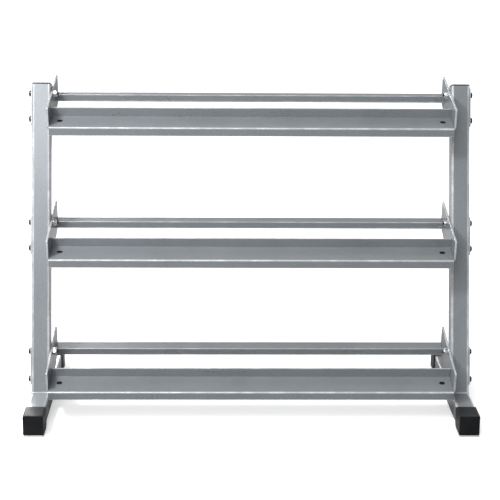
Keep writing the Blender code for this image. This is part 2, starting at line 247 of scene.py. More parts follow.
# Rubbed outside edges, paler partly from wear and partly as a painted highlight: a band along each
# edge, broken up by noise, with a few chips in it, and a crease value on inside corners for painted shade
wear_and_light, wear_and_light_in, wear_and_light_out = effect("Edge wear", [("Amount", 0.5)], ["Rub", "Chip", "Crease shade"])
edge_value = add(wear_and_light, "ShaderNodeAttribute", {"attribute_name": "edge"}).outputs["Fac"]
place = place_on(wear_and_light)
patches = ramp(wear_and_light, noise(wear_and_light, place, 22.0, 4.0, 0.6), 0.42, 0.68)
scratch = noise(wear_and_light, place, 170.0, 5.0, 0.65)
band = ramp(wear_and_light, edge_value, 0.25, 1.0)
broken = maths(wear_and_light, "MULTIPLY", band, maths(wear_and_light, "MULTIPLY_ADD", patches, 0.5, 0.5))
chips = maths(wear_and_light, "MULTIPLY", ramp(wear_and_light, scratch, 0.60, 0.66), maths(wear_and_light, "MULTIPLY", band, patches))
inside = ramp(wear_and_light, maths(wear_and_light, "MULTIPLY", edge_value, -1.0), 0.1, 1.0)
# Rub and highlight: partly real rubbing, partly a painted highlight along outside edges and bends
feed(wear_and_light, wear_and_light_out.inputs["Rub"], maths(wear_and_light, "MULTIPLY", broken, wear_and_light_in.outputs["Amount"]))
feed(wear_and_light, wear_and_light_out.inputs["Chip"], maths(wear_and_light, "MULTIPLY", chips, wear_and_light_in.outputs["Amount"]))
# Crease shade: inside corners and recesses, which the materials darken as painted shade
feed(wear_and_light, wear_and_light_out.inputs["Crease shade"], inside)

# Dust that settles on what faces up, in soft drifts
dust, dust_in, dust_out = effect("Settled dust", [("Amount", 0.5)], ["Dust"])
facing = add(dust, "ShaderNodeNewGeometry").outputs["Normal"]
up = add(dust, "ShaderNodeSeparateXYZ", Vector=facing).outputs["Z"]
place = place_on(dust)
drift = ramp(dust, noise(dust, place, 14.0, 5.0, 0.62), 0.35, 0.75, 0.25, 1.0)
specks = ramp(dust, noise(dust, place, 900.0, 1.0), 0.55, 0.75, 0.4, 1.0)
lying = maths(dust, "MULTIPLY", ramp(dust, up, 0.55, 0.98), maths(dust, "MULTIPLY", drift, specks))
feed(dust, dust_out.inputs["Dust"], maths(dust, "MULTIPLY", lying, dust_in.outputs["Amount"]))


def use(tree, group, **sockets):
    """A node that holds a group, with its values."""
    return add(tree, "ShaderNodeGroup", {"node_tree": group}, **sockets)


def new_material(name):
    """An empty material with a Principled shader: the material, its tree and the shader."""
    material = bpy.data.materials.new(name)
    material.use_nodes = True
    return material, material.node_tree, material.node_tree.nodes["Principled BSDF"]


def relief(tree, shader, strength, depth, height):
    """Fine relief of the surface, from a height between 0 and 1."""
    bump = add(tree, "ShaderNodeBump", Strength=strength, Distance=depth, Height=height)
    feed(tree, shader.inputs["Normal"], bump.outputs["Normal"])


def silver_powder_coat():
    """Silver-grey powder coat with a fine metal flake, rubbed edges with a painted highlight, painted shade
    in inside corners and a little dust.
    """
    coat_dark, coat_pale = (0.175, 0.192, 0.206, 1), (0.205, 0.223, 0.237, 1)
    flake_dark, flake_pale = (0.12, 0.135, 0.15, 1), (0.28, 0.30, 0.32, 1)
    rubbed_and_lit, chipped = (0.66, 0.68, 0.70, 1), (0.16, 0.155, 0.15, 1)
    recess_shade, dust_grey = (0.13, 0.13, 0.13, 1), (0.34, 0.335, 0.32, 1)
    material, tree, shader = new_material("Silver powder coat")
    skin_grain = use(tree, grain, Grains=620.0)
    edges = use(tree, wear_and_light, Amount=0.8)
    lying = use(tree, dust, Amount=0.35)
    cloud = ramp(tree, noise(tree, place_on(tree), 5.0, 4.0, 0.6), 0.3, 0.7)
    body = mixed(tree, cloud, coat_dark, coat_pale)
    flake = mixed(tree, skin_grain.outputs["Speckle"], flake_dark, flake_pale)
    body = mixed(tree, 0.35, body, flake)
    # Outside edges and bends paler: partly rubbing, partly a painted highlight
    body = mixed(tree, edges.outputs["Rub"], body, rubbed_and_lit)
    body = mixed(tree, edges.outputs["Chip"], body, chipped)
    # Inside corners darker: painted shade
    body = mixed(tree, maths(tree, "MULTIPLY", edges.outputs["Crease shade"], 0.35), body, recess_shade)
    body = mixed(tree, lying.outputs["Dust"], body, dust_grey)
    feed(tree, shader.inputs["Base Color"], body)
    rough = ramp(tree, cloud, 0.0, 1.0, 0.27, 0.34)
    rough = maths(tree, "MULTIPLY_ADD", lying.outputs["Dust"], 0.35, rough)
    rough = maths(tree, "MULTIPLY_ADD", edges.outputs["Chip"], 0.2, rough)
    rough = maths(tree, "MULTIPLY_ADD", edges.outputs["Rub"], -0.08, rough)
    feed(tree, shader.inputs["Roughness"], rough)
    height = maths(tree, "MULTIPLY_ADD", edges.outputs["Chip"], -0.8, skin_grain.outputs["Height"])
    relief(tree, shader, 0.35, 0.00012, height)
    shader.inputs["Metallic"].default_value = 0.35
    shader.inputs["Coat Weight"].default_value = 0.3
    shader.inputs["Coat Roughness"].default_value = 0.12
    return material


coated = silver_powder_coat()

for side in SIDES:
    node = side + "_base_tube"
    low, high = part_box(node)
    rings, edges = tube_wall(8, low.y, high.y)
    rings = rings[..., [0, 2, 1]] + ((low.x + high.x) / 2, 0, (low.z + high.z) / 2)
    fit(node + "_skin", skin(node, rings, edges, True), coated, node)


# Foot caps
# A black moulded boot slips over each end of each floor tube. It has a closed face, soft corners
# and an open rim that reaches a little further along the tube in the middle of each side.

ENDS = ("front", "rear")
CAP_WALL = 0.0022
CAP_FACE = 0.004  # thickness of the closed face
CAP_FACE_RING = 0.002  # flat ring of the face, inside its round edge
CAP_EDGE = 0.0015
CAP_CORNER = 0.004
CAP_BOW = 0.0022  # of the rim, in the middle of a side
CAP_FLAT = 0.003  # from the round edge to where the side is flat
RIM_BAND = 0.004  # behind the rim, bows with it
RIM_EDGE = 0.0009


def moulded_black(name, gloss, scuff_and_highlight):
    """Black plastic with a spark-eroded grain, edges paler from rubbing and from a painted highlight, and
    dust on top.
    """
    black, dark_grey = (0.005, 0.0053, 0.0062, 1), (0.009, 0.0095, 0.011, 1)
    rubbed_and_lit, dust_grey = (0.045, 0.047, 0.052, 1), (0.10, 0.10, 0.10, 1)
    material, tree, shader = new_material(name)
    skin_grain = use(tree, grain, Grains=900.0)
    edges = use(tree, wear_and_light, Amount=scuff_and_highlight)
    lying = use(tree, dust, Amount=0.2)
    cloud = ramp(tree, noise(tree, place_on(tree), 18.0, 4.0, 0.6), 0.3, 0.7)
    body = mixed(tree, cloud, black, dark_grey)
    # Edges paler: partly rubbing, partly a painted highlight
    body = mixed(tree, edges.outputs["Rub"], body, rubbed_and_lit)
    body = mixed(tree, lying.outputs["Dust"], body, dust_grey)
    feed(tree, shader.inputs["Base Color"], body)
    rough = ramp(tree, cloud, 0.0, 1.0, gloss, gloss + 0.08)
    rough = maths(tree, "MULTIPLY_ADD", lying.outputs["Dust"], 0.4, rough)
    feed(tree, shader.inputs["Roughness"], rough)
    relief(tree, shader, 0.4, 0.0001, skin_grain.outputs["Height"])
    shader.inputs["Specular IOR Level"].default_value = 0.13
    return material


boot_plastic = moulded_black("Black boot plastic", 0.34, 0.7)

for side in SIDES:
    for end in ENDS:
        node = side + "_" + end + "_foot_cap"
        low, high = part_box(node)
        width, length = high.x - low.x, high.y - low.y
        room = width - 2 * CAP_WALL
        way, face = (1, low.y) if end == "front" else (-1, high.y)
        middle_x, middle_z = (low.x + high.x) / 2, (low.z + high.z) / 2
        outer, outer_normals, outer_edge = square_outline(width, width, CAP_CORNER)
        inner, _, _ = square_outline(room, room, TUBE_CORNER)
        # The rim bows by the square of a cosine of the place along each side
        across = np.abs(outer).min(axis=1) / (width / 2)
        bow = CAP_BOW * np.cos(np.clip(across, 0, 1) * math.pi / 2) ** 2
        # A station is an outline, its distance from the face and its share of the bow
        round_face = [
            (outer - outer_normals * (CAP_EDGE * (1 - math.sin(t))), CAP_EDGE * (1 - math.cos(t)), 0)
            for t in np.linspace(0, math.pi / 2, 7)
        ]
        stations = [
            (outer - outer_normals * (CAP_EDGE + CAP_FACE_RING), 0.0, 0),
            *round_face,
            (outer, CAP_EDGE + CAP_FLAT, 0),
            (outer, length - RIM_BAND, 1),
            (outer, length - RIM_EDGE, 1),
            (outer - outer_normals * RIM_EDGE / 3, length - RIM_EDGE / 3, 1),
            (outer - outer_normals * RIM_EDGE, length, 1),
            (inner, length, 1),
            (inner, CAP_FACE, 0),
        ]
        rings = [
            np.column_stack([p[:, 0] + middle_x, face + way * (y + share * bow), p[:, 1] + middle_z])
            for p, y, share in stations
        ]
        # Edge values: the face's round edge, then the side's corners, then the rim
        edges = np.zeros((len(stations), len(outer)))
        edges[1:8] = 0.7
        edges[4:6] = 1.0
        edges[8:10] = outer_edge * 0.5
        edges[10:13] = 0.8
        fit(node + "_boot", skin(node, rings, edges), boot_plastic, node)


# Glides
# A light grey nylon pad lies under each boot and keeps the steel off the floor. It sticks out a
# few millimetres past the boot's face, with rounded upper edges.

GLIDE_CORNER = 0.003
GLIDE_ROUND = 0.0011
GLIDE_TOP_RING = 0.0015  # flat ring of the top, inside its round edge
GLIDE_FOOT_EDGE = 0.0004


def light_nylon():
    """Light grey nylon, slightly soiled."""
    clean, soiled = (0.46, 0.47, 0.48, 1), (0.28, 0.275, 0.27, 1)
    material, tree, shader = new_material("Light grey nylon")
    skin_grain = use(tree, grain, Grains=700.0)
    soil = ramp(tree, noise(tree, place_on(tree), 60.0, 5.0, 0.65), 0.45, 0.8)
    feed(tree, shader.inputs["Base Color"], mixed(tree, maths(tree, "MULTIPLY", soil, 0.4), clean, soiled))
    feed(tree, shader.inputs["Roughness"], ramp(tree, soil, 0.0, 1.0, 0.42, 0.62))
    relief(tree, shader, 0.3, 0.0001, skin_grain.outputs["Height"])
    return material


nylon = light_nylon()


def inset_rings(shape, normals, stations):
    """Rings of a flat outline, drawn in by an inset and set at a third coordinate, for each
    (inset, coordinate)."""
    rings = [np.column_stack([shape - normals * inset, np.full(len(shape), at)]) for inset, at in stations]
    return np.array(rings)


for side in SIDES:
    for end in ENDS:
        node = side + "_" + end + "_glide"
        low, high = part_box(node)
        pad, pad_normals, _ = square_outline(high.x - low.x, high.y - low.y, GLIDE_CORNER, 6)
        stations = [(GLIDE_FOOT_EDGE, 0.0), (0.0, GLIDE_FOOT_EDGE), (0.0, high.z - GLIDE_ROUND)]
        stations += [
            (GLIDE_ROUND * (1 - math.cos(t)), high.z - GLIDE_ROUND * (1 - math.sin(t)))
            for t in np.linspace(0, math.pi / 2, 6)[1:]
        ]
        stations.append((GLIDE_ROUND + GLIDE_TOP_RING, high.z))
        rings = inset_rings(pad, pad_normals, stations) + ((low.x + high.x) / 2, (low.y + high.y) / 2, 0)
        fit(node + "_pad", skin(node, rings, 0.0), nylon, node)


# Uprights
# Two more lengths of the same tube lean back 15 degrees. Each foot is cut level and welded to its
# floor tube all the way round, and the bead is coated with the rest.

TIERS = ("bottom", "middle", "top")
BOLT_PLACES = ("upper", "lower")
PIECE_GAP = 0.0003  # between CAD pieces that touch
BORE_RADIUS = 0.0055
OVERCUT = 0.01  # of a cutting tool, past each face
BEAD_PITCH = 0.0028  # from one ripple to the next
BEAD_SWELL = 0.09  # of a ripple, as a share of the bead's size
FOOT_BEAD = (0.0040, 0.0036)  # half its width and half its height
# Edge value over the whole foot bead, set high so that it is paler from rubbing and from a painted highlight
FOOT_BEAD_RUB_AND_HIGHLIGHT = 0.9
FOOT_BEAD_RINGS = 560
FOOT_BEAD_INSET = 0.0005  # of its middle line, from the tube's face
FOOT_BEAD_CORNER = 0.001  # added to the tube's corner
FOOT_BEAD_LIFT = 0.0004
BESIDE_SINK = 0.0016  # on the two sides, where the floor tube's corners round away
BESIDE_INSET = 0.0024


def middle_of(node):
    """The middle of a CAD node's box, as (y, z). On a bolt or nut this is its axis."""
    low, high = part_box(node)
    return np.array([(low.y + high.y) / 2, (low.z + high.z) / 2])


low_bolt, high_bolt = middle_of("left_bottom_lower_bolt"), middle_of("left_top_upper_bolt")
lean_way = unit(high_bolt - low_bolt)
LEAN = math.atan2(lean_way[0], lean_way[1])
BASE_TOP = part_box("left_base_tube")[1].z
FOOT = low_bolt - lean_way * (low_bolt[1] - BASE_TOP) / lean_way[1]  # the axis at the floor tube's top
# The top end is sawn square, so its front edge is highest. This is its place along the axis
UPRIGHT_TOP = (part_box("left_upright")[1].z - FOOT[1] - TUBE / 2 * math.sin(LEAN)) / math.cos(LEAN)


def turned(points, angle, origin):
    """Points turned about X by an angle, +Y towards +Z, then moved from (0, 0) to an origin (y, z)."""
    points = np.asarray(points, float)
    c, s = math.cos(angle), math.sin(angle)
    y = points[..., 1] * c - points[..., 2] * s + origin[0]
    z = points[..., 1] * s + points[..., 2] * c + origin[1]
    return np.stack([points[..., 0], y, z], -1)


def bolt_holes(side, tiers, low, high):
    """Round tools along X for the holes of a side's bolts at these tiers, through a box."""
    turn = np.linspace(0, math.tau, 32, endpoint=False)
    circle = np.stack([0 * turn, BORE_RADIUS * np.cos(turn), BORE_RADIUS * np.sin(turn)], -1)
    axes = [middle_of(side + "_" + tier + "_" + place + "_bolt") for tier in tiers for place in BOLT_PLACES]
    ends = (low.x - OVERCUT, high.x + OVERCUT)
    return [skin("bore", [circle + (x, *axis) for x in ends], 0.0) for axis in axes]


def cut_out(piece, tools):
    """Cuts closed meshes out of a piece, and keeps what is left as its mesh."""
    cutters = []
    for tool in tools:
        cutter = bpy.data.objects.new("cutter", tool)
        bpy.context.scene.collection.objects.link(cutter)
        cutters.append(cutter)
        cut = piece.modifiers.new("cut", "BOOLEAN")
        cut.operation, cut.solver, cut.object = "DIFFERENCE", "EXACT", cutter
    view = bpy.context.evaluated_depsgraph_get()
    done = bpy.data.meshes.new_from_object(piece.evaluated_get(view))
    piece.modifiers.clear()
    piece.data = done
    done.set_sharp_from_angle(angle=SHARP_ANGLE)
    for cutter in cutters:
        bpy.data.objects.remove(cutter)


def read_off(values, run, at):
    """Values at the points of a closed ring, read off at other lengths along it."""
    closed = np.concatenate([values, values[:1]])
    return np.stack([np.interp(at, run, column) for column in closed.T], -1)


def bead(name, path, sideways, upwards, half_size, looped, rub_and_highlight=0.35):
    """A weld bead: an oval section carried along a path. Its size swells and dips with the cosine
    of the length run, one ripple to each pitch, and two long waves over that stand for a hand
    that wanders. A bead that isn't looped closes to a point at each end."""
    step = np.linalg.norm(np.diff(path, axis=0, append=path[:1]), axis=1)
    run = np.concatenate([[0], np.cumsum(step)[:-1]])
    whole = step.sum() if looped else run[-1]
    ripple = np.cos(run / whole * math.tau * max(1, round(whole / BEAD_PITCH)))
    wander = 0.06 * np.sin(run * 210.0) + 0.05 * np.sin(run * 87.0 + 1.0)
    size = 1 + BEAD_SWELL * ripple + wander
    if not looped:
        size = size * np.sqrt(np.clip(1 - (2 * run / whole - 1) ** 8, 0.0, 1))
    around = np.linspace(0, math.tau, 12, endpoint=False)
    half_width, half_height = half_size
    out = sideways[:, None] * (half_width * np.cos(around))[None, :, None]
    up = upwards[:, None] * (half_height * np.sin(around))[None, :, None]
    rings = path[:, None] + size[:, None, None] * (out + up)
    # The rub value is the edge value along the whole bead: paler from rubbing and from a painted highlight
    return skin(name, rings, rub_and_highlight, looped)


for side in SIDES:
    node = side + "_upright"
    low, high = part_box(node)
    middle_x = (low.x + high.x) / 2
    rings, edges = tube_wall(10, PIECE_GAP / math.cos(LEAN), UPRIGHT_TOP, math.tan(LEAN))
    mesh = skin(node, turned(rings + (middle_x, 0, 0), -LEAN, FOOT), edges, True)
    post = fit(node + "_tube", mesh, coated, node)
    cut_out(post, bolt_holes(side, TIERS, low, high))

    # The bead follows the foot's outline on the floor tube's top
    width = TUBE - 2 * FOOT_BEAD_INSET
    ring, ring_normals, _ = square_outline(width, width / math.cos(LEAN), TUBE_CORNER + FOOT_BEAD_CORNER, 12)
    steps = np.linalg.norm(np.roll(ring, -1, 0) - ring, axis=1)
    run = np.concatenate([[0], np.cumsum(steps)])
    at = np.linspace(0, run[-1], FOOT_BEAD_RINGS, endpoint=False)
    path, out = read_off(ring, run, at), unit(read_off(ring_normals, run, at))
    beside = out[:, 0] ** 2
    x = path[:, 0] + middle_x - out[:, 0] * BESIDE_INSET * beside
    y = path[:, 1] + FOOT[0]
    z = BASE_TOP + FOOT_BEAD_LIFT - BESIDE_SINK * beside
    sideways = np.column_stack([out, 0 * at])
    upwards = np.tile([0.0, 0.0, 1.0], (FOOT_BEAD_RINGS, 1))
    name = side + "_upright_weld"
    weld = bead(name, np.stack([x, y, z], -1), sideways, upwards, FOOT_BEAD, True, FOOT_BEAD_RUB_AND_HIGHLIGHT)
    fit(name, weld, coated)


# Top caps
# A black moulded cap closes the top of each upright. Its square flange lies on the tube's end,
# with a softly crowned top, and a hollow skirt grips the inside of the tube.

TOP_FLANGE = 0.004
TOP_ROUND = 0.0016
TOP_CROWN = 0.0006
SKIRT = 0.018
SKIRT_WALL = 0.0025

top_plastic = moulded_black("Black plug plastic", 0.38, 0.6)

for side in SIDES:
    node = side + "_top_cap"
    low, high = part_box(node)
    corner = TUBE_CORNER - TUBE_WALL
    skirt_size = TUBE - 2 * TUBE_WALL - 2 * PIECE_GAP
    bore_size = skirt_size - 2 * SKIRT_WALL
    flange, flange_normals, _ = square_outline(TUBE, TUBE, TUBE_CORNER)
    skirt, _, _ = square_outline(skirt_size, skirt_size, corner)
    bore, _, _ = square_outline(bore_size, bore_size, corner / 2)
    shoulder = TOP_FLANGE - TOP_CROWN
    stations = [(bore, 0.0), (bore, -SKIRT), (skirt, -SKIRT), (skirt, PIECE_GAP), (flange, PIECE_GAP)]
    stations += [
        (flange - flange_normals * TOP_ROUND * (1 - math.cos(t)), shoulder - TOP_ROUND * (1 - math.sin(t)))
        for t in np.linspace(0, math.pi / 2, 7)
    ]
    # The crown rises from the flange's edge to its middle, less and less steeply at both ends
    stations += [
        (flange * share, TOP_FLANGE - TOP_CROWN * math.sin(share * math.pi / 2) ** 2)
        for share in (0.9, 0.75, 0.55, 0.3, 0.08)
    ]
    rings = np.array([np.column_stack([p, np.full(len(p), z + UPRIGHT_TOP)]) for p, z in stations])
    rings = turned(rings + ((low.x + high.x) / 2, 0, 0), -LEAN, FOOT)
    # Only the flange's round edge is rubbed, paler from wear and from a painted highlight
    edges = np.zeros((len(stations), len(flange)))
    edges[6:11] = 0.9
    fit(node + "_plug", skin(node, rings, edges), top_plastic, node)


# Rails
# Each tier has a front and a rear rail, bent from 3 mm sheet: a lip down at the outer edge, a
# flat floor that the dumbbell heads rest on, and an upstand at the inner edge. A hole near each
# end of the front rails is for hanging them up to be coated.

UPPER_BOLT = 0.045  # above the tier's floor, along the upright
SLOPE = math.radians(11.0)
SHEET = 0.003
SHEARED_EDGE = 0.0007
LIP = 0.024
BEND = 0.003
HOLE_RADIUS = 0.0075
HOLE_BACK = 0.048  # from the front bend
HOLE_INSET = 0.026  # from the rail's end
RAILS = {"front": (0.081, 0.026), "rear": (0.068, 0.018)}  # floor's depth and upstand's height
FRONT_BEND = -0.130
REAR_BEND = 0.144

tier_origins = {tier: middle_of("left_" + tier + "_upper_bolt") - lean_way * UPPER_BOLT for tier in TIERS}


def on_tier(points, tier):
    """Points measured from where the uprights' axis meets a tier's floor, put in their place."""
    return turned(points, SLOPE, tier_origins[tier])


def rail_section(floor, upstand):
    """Counter-clockwise outline of a bent rail with its outer bend at (0, 0) and its floor to +Y."""
    corners = [
        (0.0, -LIP, SHEARED_EDGE),
        (SHEET, -LIP, SHEARED_EDGE),
        (SHEET, -SHEET, SHEARED_EDGE),
        (floor + SHEET, -SHEET, BEND),
        (floor + SHEET, upstand, SHEARED_EDGE),
        (floor, upstand, SHEARED_EDGE),
        (floor, 0.0, SHEARED_EDGE),
        (0.0, 0.0, BEND),
    ]
    return outline([(y, z) for y, z, _ in corners], [radius for _, _, radius in corners], guard=0.0025)


def hole_rings(tier, side, profile):
    """Rings about the axis of a front rail's hole, for each (radius, height) of a profile."""
    low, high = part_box(tier + "_front_rail")
    x = low.x + HOLE_INSET if side == "left" else high.x - HOLE_INSET
    y = FRONT_BEND + HOLE_BACK
    turn = np.linspace(0, math.tau, 48, endpoint=False)
    radius, height = np.array(profile).T[:, :, None]
    rings = np.broadcast_arrays(x + radius * np.cos(turn), y + radius * np.sin(turn), height)
    return on_tier(np.stack(rings, -1), tier)


for tier in TIERS:
    for which, (floor, upstand) in RAILS.items():
        node = tier + "_" + which + "_rail"
        low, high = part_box(node)
        way, bend = (1, FRONT_BEND) if which == "front" else (-1, REAR_BEND)
        section, section_normals, section_edge = rail_section(floor, upstand)
        section, section_normals = section * (way, 1) + (bend, 0), section_normals * (way, 1)
        stations = [
            (SAWN_EDGE, low.x),
            (0.0, low.x + SAWN_EDGE),
            (0.0, high.x - SAWN_EDGE),
            (SAWN_EDGE, high.x),
        ]
        rings = inset_rings(section, section_normals, stations)[..., [2, 0, 1]]
        mesh = skin(node, on_tier(rings, tier), section_edge)
        rail = fit(node + "_sheet", mesh, coated, node)
        if which == "front":
            through = [(HOLE_RADIUS, -OVERCUT), (HOLE_RADIUS, OVERCUT)]
            cut_out(rail, [skin("hanging_hole", hole_rings(tier, side, through), 0.0) for side in SIDES])


# Hole plugs
# The holes at the ends of the front rails were for hanging them up to be coated. Each is closed
# by a flush black push-in plug: a shallow cup with a thin rim, and a skirt that snaps through. The
# plugs' black is painted shade: it stands for the shade under the rack seen through open holes.

INSERT_CUP = 0.0062
INSERT_CUP_DEPTH = 0.0014
INSERT_RIM = 0.0079
INSERT_BARREL = 0.0071
INSERT_BARB = 0.0075
INSERT_LENGTH = 0.0075
INSERT_WALL = 0.001

# Black plug plastic, put in the holes as painted shade
hole_shade_plastic = moulded_black("Black hole shade plastic", 0.5, 0.2)

# Radius and height, from the middle of the cup over the rim, down the barrel and up inside it
insert_profile = [
    (0.0002, -INSERT_CUP_DEPTH),
    (INSERT_CUP - 0.0004, -INSERT_CUP_DEPTH),
    (INSERT_CUP - 0.0001, -INSERT_CUP_DEPTH + 0.0002),
    (INSERT_CUP, -INSERT_CUP_DEPTH + 0.0006),
    (INSERT_CUP + 0.0001, 0.0001),
    (INSERT_CUP + 0.0003, 0.00035),
    (INSERT_RIM - 0.0003, 0.0004),
    (INSERT_RIM - 0.0001, 0.0003),
    (INSERT_RIM, 0.0001),
    (INSERT_RIM, 0.00005),
    (INSERT_BARREL, 0.00005),
    (INSERT_BARREL, -SHEET - 0.0001),
    (INSERT_BARB, -SHEET - 0.0006),
    (INSERT_BARREL - 0.0002, -INSERT_LENGTH + 0.0004),
    (INSERT_BARREL - 0.0006, -INSERT_LENGTH),
    (INSERT_CUP, -INSERT_LENGTH),
    (INSERT_CUP, -INSERT_CUP_DEPTH - INSERT_WALL),
    (0.0002, -INSERT_CUP_DEPTH - INSERT_WALL),
]

# Only the rim is rubbed, paler from wear and from a painted highlight
insert_edges = np.zeros((len(insert_profile), 1))
insert_edges[4:9] = 0.6

for tier in TIERS:
    for side in SIDES:
        mesh = skin("hole_shade_plug", hole_rings(tier, side, insert_profile), insert_edges)
        fit(tier + "_" + side + "_hole_shade_plug", mesh, hole_shade_plastic)


# End plates
# A flat 5 mm steel plate closes each end of a tier. The rails are welded to its inner face from
# below, and a tab under the floor takes the lower bolt.

PLATE_EDGE = 0.0006
PLATE_CORNERS = (0.005, 0.010, 0.010, 0.005, 0.0025, 0.0025)
PLATE_FRONT = FRONT_BEND + 0.010
PLATE_FRONT_DROP = 0.005
PLATE_RISE = 0.051
PLATE_FACE_RING = 0.0022  # from the plate's outline to where its face is surely flat
TAB_DROP = 0.046
TAB_WIDTH = 0.062
LOWEST_BOLT = -0.031  # the bottom tier's lower bolt from its floor, along the upright
TAB_MIDDLE = LOWEST_BOLT * math.sin(LEAN + SLOPE)
RAIL_BEAD = (0.0034, 0.0030)  # half its width and half its height
RAIL_BEAD_RINGS = 150
RAIL_BEAD_OUT = 0.0008  # of its middle line, from the plate's inner face
RAIL_BEAD_DROP = 0.0006  # and from the underside of the rail's floor
RAIL_BEAD_STOP = 0.006  # short of the upstand
RAIL_BEAD_START = {"front": 0.014, "rear": 0.010}  # from the outer bend


def plate_rings(shape, normals, thickness, round_edge):
    """Rings over a flat plate that lies across X: one face, a rounded edge and the other face. The
    edge value is 1 on the rounded edge and 0 on the faces."""
    turn = np.linspace(0, math.pi / 2, 4)
    half = thickness / 2
    closing = round_edge * (1 - np.sin(turn))
    opening = round_edge * (1 - np.cos(turn))
    inset = np.concatenate([[PLATE_FACE_RING], closing, opening[1:], [PLATE_FACE_RING]])
    depth = np.concatenate([[-half], opening - half, half - closing[1:], [half]])
    edges = np.where(inset < PLATE_FACE_RING, 1.0, 0.0)[:, None]
    return inset_rings(shape, normals, zip(inset, depth))[..., [2, 0, 1]], edges


for tier in TIERS:
    for side in SIDES:
        node = tier + "_" + side + "_end_plate"
        low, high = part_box(node)
        corners = [
            (PLATE_FRONT, -PLATE_FRONT_DROP),
            (TAB_MIDDLE - TAB_WIDTH / 2, -TAB_DROP),
            (TAB_MIDDLE + TAB_WIDTH / 2, -TAB_DROP),
            (REAR_BEND, -LIP),
            (REAR_BEND, PLATE_RISE),
            (PLATE_FRONT, PLATE_RISE),
        ]
        shape, shape_normals, _ = outline(corners, PLATE_CORNERS)
        rings, edges = plate_rings(shape, shape_normals, high.x - low.x, PLATE_EDGE)
        mesh = skin(node, on_tier(rings + ((low.x + high.x) / 2, 0, 0), tier), edges)
        plate = fit(node + "_sheet", mesh, coated, node)
        cut_out(plate, bolt_holes(side, [tier], low, high))

        # Fillet welds under the two floors, against the plate's inner face
        weld_x = high.x + RAIL_BEAD_OUT if side == "left" else low.x - RAIL_BEAD_OUT
        sideways = np.tile([1.0, 0.0, 0.0], (RAIL_BEAD_RINGS, 1))
        upwards = np.tile([0.0, -math.sin(SLOPE), math.cos(SLOPE)], (RAIL_BEAD_RINGS, 1))
        for which, (floor, _) in RAILS.items():
            start = FRONT_BEND + RAIL_BEAD_START["front"]
            stop = FRONT_BEND + floor - RAIL_BEAD_STOP
            if which == "rear":
                start = REAR_BEND - floor + RAIL_BEAD_STOP
                stop = REAR_BEND - RAIL_BEAD_START["rear"]
            y = np.linspace(start, stop, RAIL_BEAD_RINGS)
            path = np.stack([0 * y + weld_x, y, 0 * y - SHEET - RAIL_BEAD_DROP], -1)
            mesh = bead(node, on_tier(path, tier), sideways, upwards, RAIL_BEAD, False)
            fit(tier + "_" + side + "_" + which + "_rail_weld", mesh, coated)


# Backing plates
# A narrow 3 mm plate lies on the outer face of each upright at each tier, under the two bolt
# heads, so that they don't crush the tube's wall.

BACKING_WIDTH = 0.040
BACKING_HEIGHT = 0.105
BACKING_CORNER = 0.004
BACKING_EDGE = 0.0005

for side in SIDES:
    for tier in TIERS:
        node = side + "_" + tier + "_backing_plate"
        low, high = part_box(node)
        shape, shape_normals, _ = square_outline(BACKING_WIDTH, BACKING_HEIGHT, BACKING_CORNER)
        rings, edges = plate_rings(shape, shape_normals, high.x - low.x, BACKING_EDGE)
        rings = turned(rings + ((low.x + high.x) / 2, 0, 0), -LEAN, middle_of(node))
        strap = fit(node + "_strap", skin(node, rings, edges), coated, node)
        cut_out(strap, bolt_holes(side, [tier], low, high))


# Bolts
# M10 button-head bolts with a flange under the head and a hexagon socket pass from the outside
# through backing plate, upright and end plate. They are zinc-plated steel with rolled threads.

BOLT_RADIUS = 0.005
BOLT_POINTS = 48
THREAD_LENGTH = 0.0165
THREAD_PITCH = 0.0015
THREAD_DEPTH = 0.0008
THREAD_RINGS = 120
THREAD_FADE = 0.001  # the ridge sinks over this length at the tip
BOLT_TIP = 0.0007  # past the thread
BOLT_TWIST = 0.37  # turn from one bolt to the next
FLANGE_RADIUS = 0.0100
FLANGE = 0.0015
HEAD_RADIUS = 0.00875
HEAD = 0.0055
HEAD_FLAT = 0.52  # share of the head's radius that is flat at the top
SOCKET = 0.006
SOCKET_DEPTH = 0.0031
SOCKET_EDGE = 0.0004


def zinc_plate(name, pale, dark, gloss):
    """Zinc-plated steel, a little uneven, with painted shade in its recesses."""
    recess_shade = (0.05, 0.048, 0.045, 1)
    material, tree, shader = new_material(name)
    place = place_on(tree)
    edges = use(tree, wear_and_light, Amount=0.6)
    cloud = ramp(tree, noise(tree, place, 160.0, 4.0, 0.6), 0.35, 0.7)
    # Recesses such as the socket and the bore darkened: painted shade
    body = mixed(tree, edges.outputs["Crease shade"], mixed(tree, cloud, dark, pale), recess_shade)
    feed(tree, shader.inputs["Base Color"], body)
    feed(tree, shader.inputs["Roughness"], ramp(tree, cloud, 0.0, 1.0, gloss + 0.12, gloss))
    relief(tree, shader, 0.2, 0.00005, noise(tree, place, 1400.0, 2.0))
    shader.inputs["Metallic"].default_value = 1.0
    return material


bolt_steel = zinc_plate("Dark zinc plate", (0.08, 0.082, 0.087, 1), (0.042, 0.042, 0.045, 1), 0.24)


def hexagon(angle, across):
    """Distance from the axis to a hexagon's side: half its width over the cosine of the angle
    from the middle of that side."""
    return across / 2 / np.cos((angle + math.pi / 6) % (math.pi / 3) - math.pi / 6)


def fastener_rings(node, side, profile, angle):
    """Rings about a fastener's axis, and their edge values. The profile holds (length, radius,
    edge value), with the length from the left end on the left side and from the right end on the
    right. A radius is one value, or one for each angle."""
    low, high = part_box(node)
    y, z = middle_of(node)
    length = np.array([row[0] for row in profile])[:, None]
    radius = np.array([np.broadcast_to(row[1], angle.shape) for row in profile])
    edges = np.array([row[2] for row in profile])[:, None]
    x = low.x + length if side == "left" else high.x - length
    rings = np.broadcast_arrays(x, y + radius * np.cos(angle), z + radius * np.sin(angle))
    return np.stack(rings, -1), edges


